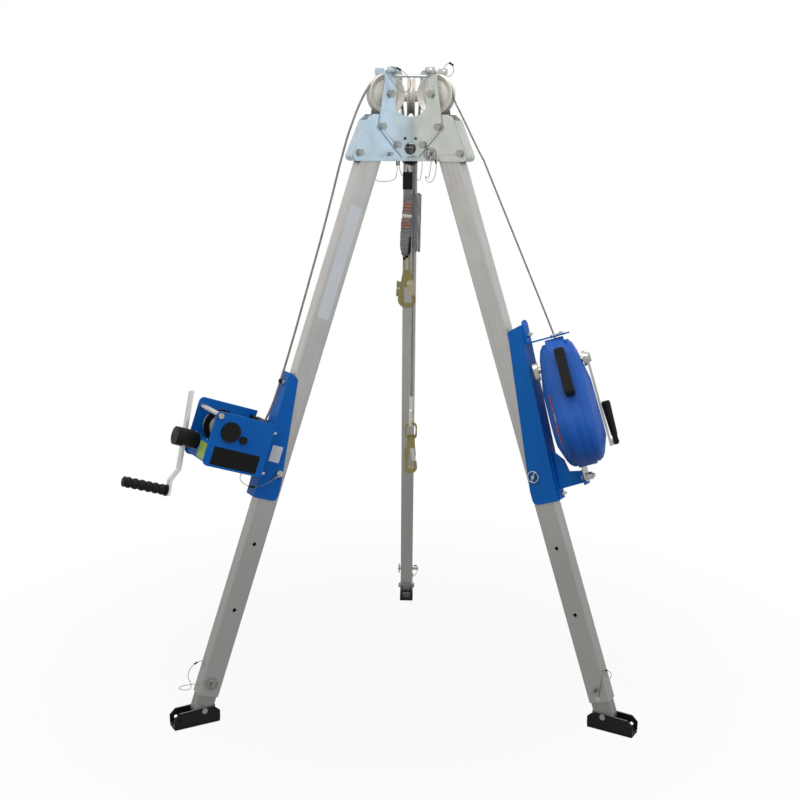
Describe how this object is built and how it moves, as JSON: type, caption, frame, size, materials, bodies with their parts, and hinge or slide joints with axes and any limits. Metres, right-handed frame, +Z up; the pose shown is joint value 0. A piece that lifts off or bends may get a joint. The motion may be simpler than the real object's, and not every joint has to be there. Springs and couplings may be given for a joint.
{
  "type": "rescue tripod",
  "caption": "Confined-space rescue tripod with telescopic legs, head sheaves, a hand winch, a retrieval block and a lanyard with snap hooks.",
  "frame": {"origin": "on the floor under the middle of the outer box, legs opened", "axes": "+Z up, -Y to the front between the two front legs, +X to the right leg"},
  "size_m": [1.339, 1.1617, 1.733],
  "materials": {
    "zinc_plate": "zinc plated",
    "bright_steel": "zinc plated",
    "leg_alloy": "satin anodised",
    "sheave_alloy": "turned",
    "blue_paint": "powder coat",
    "blue_plastic": "moulded",
    "black_plastic": "moulded",
    "black_steel": "black coat",
    "sole_rubber": "moulded",
    "yellow_zinc": "yellow passivated zinc",
    "webbing": "woven",
    "wire_rope": "stranded"
  },
  "bodies": {
    "head": {"head_plates": "zinc_plate", "sheave_plates": "zinc_plate", "head_spacers": "zinc_plate", "head_bolts": "bright_steel", "sheave_axles": "bright_steel", "rope_guide": "black_plastic", "winch_rope_head": "wire_rope", "block_rope_head": "wire_rope", "rope_sleeve": "black_plastic", "absorber_pack": "webbing", "rope_ferrule": "sheave_alloy", "swivel_eye": "yellow_zinc"},
    "leg_left": {"outer_leg_left": "leg_alloy", "winch_bracket": "blue_paint", "winch_frame": "blue_paint", "winch_hardware": "black_plastic", "winch_rope_leg": "wire_rope"},
    "inner_left": {"inner_leg_left": "leg_alloy"},
    "foot_left": {"foot_shoe_left": "black_steel", "foot_pad_left": "sole_rubber"},
    "leg_pin_left": {"leg_pin_left": "bright_steel"},
    "lock_pin_left": {"lock_pin_left": "bright_steel"},
    "sheave_left": {"sheave_left": "sheave_alloy"},
    "leg_right": {"outer_leg_right": "leg_alloy", "block_bracket": "blue_paint", "block_guide": "blue_paint", "block_case_back": "blue_plastic", "block_case_front": "blue_plastic", "block_handle": "black_plastic", "block_rope_leg": "wire_rope"},
    "inner_right": {"inner_leg_right": "leg_alloy"},
    "foot_right": {"foot_shoe_right": "black_steel", "foot_pad_right": "sole_rubber"},
    "leg_pin_right": {"leg_pin_right": "bright_steel"},
    "lock_pin_right": {"lock_pin_right": "bright_steel"},
    "sheave_right": {"sheave_right": "sheave_alloy"},
    "leg_rear": {"outer_leg_rear": "leg_alloy"},
    "inner_rear": {"inner_leg_rear": "leg_alloy"},
    "foot_rear": {"foot_shoe_rear": "black_steel", "foot_pad_rear": "sole_rubber"},
    "leg_pin_rear": {"leg_pin_rear": "bright_steel"},
    "lock_pin_rear": {"lock_pin_rear": "bright_steel"},
    "sheave_rear": {"sheave_rear": "sheave_alloy"},
    "winch_crank": {"worm_shaft": "bright_steel", "crank_hub": "black_plastic"},
    "crank_bar": {"crank_arm": "zinc_plate"},
    "crank_grip": {"crank_grip": "black_plastic"},
    "drum": {"winch_drum": "black_steel", "winch_winding": "wire_rope", "worm_wheel": "bright_steel"},
    "winch_pin": {"winch_pin": "bright_steel"},
    "block_drum": {"block_drum": "bright_steel"},
    "block_crank": {"block_crank_shaft": "bright_steel", "block_crank_arm": "zinc_plate"},
    "block_grip": {"block_grip": "black_plastic"},
    "block_pin": {"block_pin": "bright_steel"},
    "lanyard_hook": {"lanyard_hook": "yellow_zinc"},
    "lanyard_gate": {"lanyard_gate": "yellow_zinc"},
    "swivel_hook": {"swivel_hook": "yellow_zinc"},
    "swivel_gate": {"swivel_gate": "zinc_plate"}
  },
  "joints": [
    {"name": "leg_fold_left", "type": "hinge", "parent": "head", "child": "leg_left", "pos_m": [-0.0446, -0.182, 1.58], "axis": [0.5, -0.866, 0], "range_deg": [0, 19]},
    {"name": "lock_draw_left", "type": "slide", "parent": "head", "child": "lock_pin_left", "axis": [-0.5, 0.866, 0], "range_m": [0, 0.121]},
    {"name": "sheave_turn_left", "type": "hinge", "parent": "head", "child": "sheave_left", "pos_m": [-0.02468, -0.1705, 1.664], "axis": [0.5, -0.866, 0], "continuous": true},
    {"name": "leg_slide_left", "type": "slide", "parent": "leg_left", "child": "inner_left", "axis": [-0.2819, -0.1628, -0.9455], "range_m": [0, 0.42]},
    {"name": "foot_tilt_left", "type": "hinge", "parent": "inner_left", "child": "foot_left", "pos_m": [-0.50383, -0.44713, 0.04], "axis": [0.5, -0.866, 0], "range_deg": [-45, 30]},
    {"name": "leg_pin_draw_left", "type": "slide", "parent": "leg_left", "child": "leg_pin_left", "axis": [0.5, -0.866, 0], "range_m": [0, 0.062]},
    {"name": "leg_fold_right", "type": "hinge", "parent": "head", "child": "leg_right", "pos_m": [0.1286, -0.182, 1.58], "axis": [0.5, 0.866, 0], "range_deg": [0, 19]},
    {"name": "lock_draw_right", "type": "slide", "parent": "head", "child": "lock_pin_right", "axis": [-0.5, -0.866, 0], "range_m": [0, 0.121]},
    {"name": "sheave_turn_right", "type": "hinge", "parent": "head", "child": "sheave_right", "pos_m": [0.10868, -0.1705, 1.664], "axis": [0.5, 0.866, 0], "continuous": true},
    {"name": "leg_slide_right", "type": "slide", "parent": "leg_right", "child": "inner_right", "axis": [0.2819, -0.1628, -0.9455], "range_m": [0, 0.42]},
    {"name": "foot_tilt_right", "type": "hinge", "parent": "inner_right", "child": "foot_right", "pos_m": [0.58783, -0.44713, 0.04], "axis": [0.5, 0.866, 0], "range_deg": [-45, 30]},
    {"name": "leg_pin_draw_right", "type": "slide", "parent": "leg_right", "child": "leg_pin_right", "axis": [0.5, 0.866, 0], "range_m": [0, 0.062]},
    {"name": "leg_fold_rear", "type": "hinge", "parent": "head", "child": "leg_rear", "pos_m": [0.042, -0.032, 1.58], "axis": [-1, 0, 0], "range_deg": [0, 19]},
    {"name": "lock_draw_rear", "type": "slide", "parent": "head", "child": "lock_pin_rear", "axis": [1, 0, 0], "range_m": [0, 0.121]},
    {"name": "sheave_turn_rear", "type": "hinge", "parent": "head", "child": "sheave_rear", "pos_m": [0.042, -0.055, 1.664], "axis": [-1, 0, 0], "continuous": true},
    {"name": "leg_slide_rear", "type": "slide", "parent": "leg_rear", "child": "inner_rear", "axis": [0, 0.3256, -0.9455], "range_m": [0, 0.42]},
    {"name": "foot_tilt_rear", "type": "hinge", "parent": "inner_rear", "child": "foot_rear", "pos_m": [0.042, 0.49826, 0.04], "axis": [-1, 0, 0], "range_deg": [-45, 30]},
    {"name": "leg_pin_draw_rear", "type": "slide", "parent": "leg_rear", "child": "leg_pin_rear", "axis": [-1, 0, 0], "range_m": [0, 0.062]},
    {"name": "winch_crank_turn", "type": "hinge", "parent": "leg_left", "child": "winch_crank", "pos_m": [-0.4961, -0.41958, 0.77519], "axis": [-0.8188, -0.4728, 0.3256], "continuous": true},
    {"name": "drum_turn", "type": "hinge", "parent": "leg_left", "child": "drum", "pos_m": [-0.44117, -0.41096, 0.81221], "axis": [0.5, -0.866, 0], "continuous": true},
    {"name": "crank_bar_slide", "type": "slide", "parent": "winch_crank", "child": "crank_bar", "axis": [0.1038, 0.4359, 0.894], "range_m": [-0.06, 0.05]},
    {"name": "crank_grip_turn", "type": "hinge", "parent": "crank_bar", "child": "crank_grip", "pos_m": [-0.57655, -0.52016, 0.67249], "axis": [-0.8188, -0.4728, 0.3256], "continuous": true},
    {"name": "winch_pin_draw", "type": "slide", "parent": "leg_left", "child": "winch_pin", "axis": [0.5, -0.866, 0], "range_m": [0, 0.07]},
    {"name": "block_drum_turn", "type": "hinge", "parent": "leg_right", "child": "block_drum", "pos_m": [0.46809, -0.378, 0.88999], "axis": [0.9465, -0.1139, 0.3019], "continuous": true},
    {"name": "block_crank_turn", "type": "hinge", "parent": "leg_right", "child": "block_crank", "pos_m": [0.44186, -0.36286, 0.97792], "axis": [0.9465, -0.1139, 0.3019], "continuous": true},
    {"name": "block_grip_fold", "type": "hinge", "parent": "block_crank", "child": "block_grip", "pos_m": [0.58641, -0.40977, 0.78691], "axis": [0.1568, 0.9801, -0.122], "range_deg": [0, 90]},
    {"name": "block_pin_draw", "type": "slide", "parent": "leg_right", "child": "block_pin", "axis": [-0.5, -0.866, 0], "range_m": [0, 0.07]},
    {"name": "lanyard_hook_swing", "type": "hinge", "parent": "head", "child": "lanyard_hook", "pos_m": [0.036, -0.138, 1.241], "axis": [1, 0, 0], "range_deg": [-20, 2.8]},
    {"name": "lanyard_gate_open", "type": "hinge", "parent": "lanyard_hook", "child": "lanyard_gate", "pos_m": [0.0455, -0.138, 1.162], "axis": [0, 1, 0], "range_deg": [0, 28], "stiffness_Nm_per_rad": 0.05, "springref_deg": -11.46},
    {"name": "swivel_turn", "type": "hinge", "parent": "head", "child": "swivel_hook", "pos_m": [0.053, -0.118, 0.712], "axis": [0, 0, 1], "continuous": true},
    {"name": "swivel_gate_open", "type": "hinge", "parent": "swivel_hook", "child": "swivel_gate", "pos_m": [0.057, -0.118, 0.6837], "axis": [0, 1, 0], "range_deg": [0, 24], "stiffness_Nm_per_rad": 0.05, "springref_deg": -11.46}
  ],
  "couplings": [
    {"joint": "lock_draw_left", "follows": "leg_fold_left", "m_per_rad": 0.364},
    {"joint": "lock_draw_right", "follows": "leg_fold_right", "m_per_rad": 0.364},
    {"joint": "lock_draw_rear", "follows": "leg_fold_rear", "m_per_rad": 0.364},
    {"joint": "drum_turn", "follows": "winch_crank_turn", "ratio": 0.025},
    {"joint": "block_crank_turn", "follows": "block_drum_turn", "ratio": -3.4286}
  ]
}
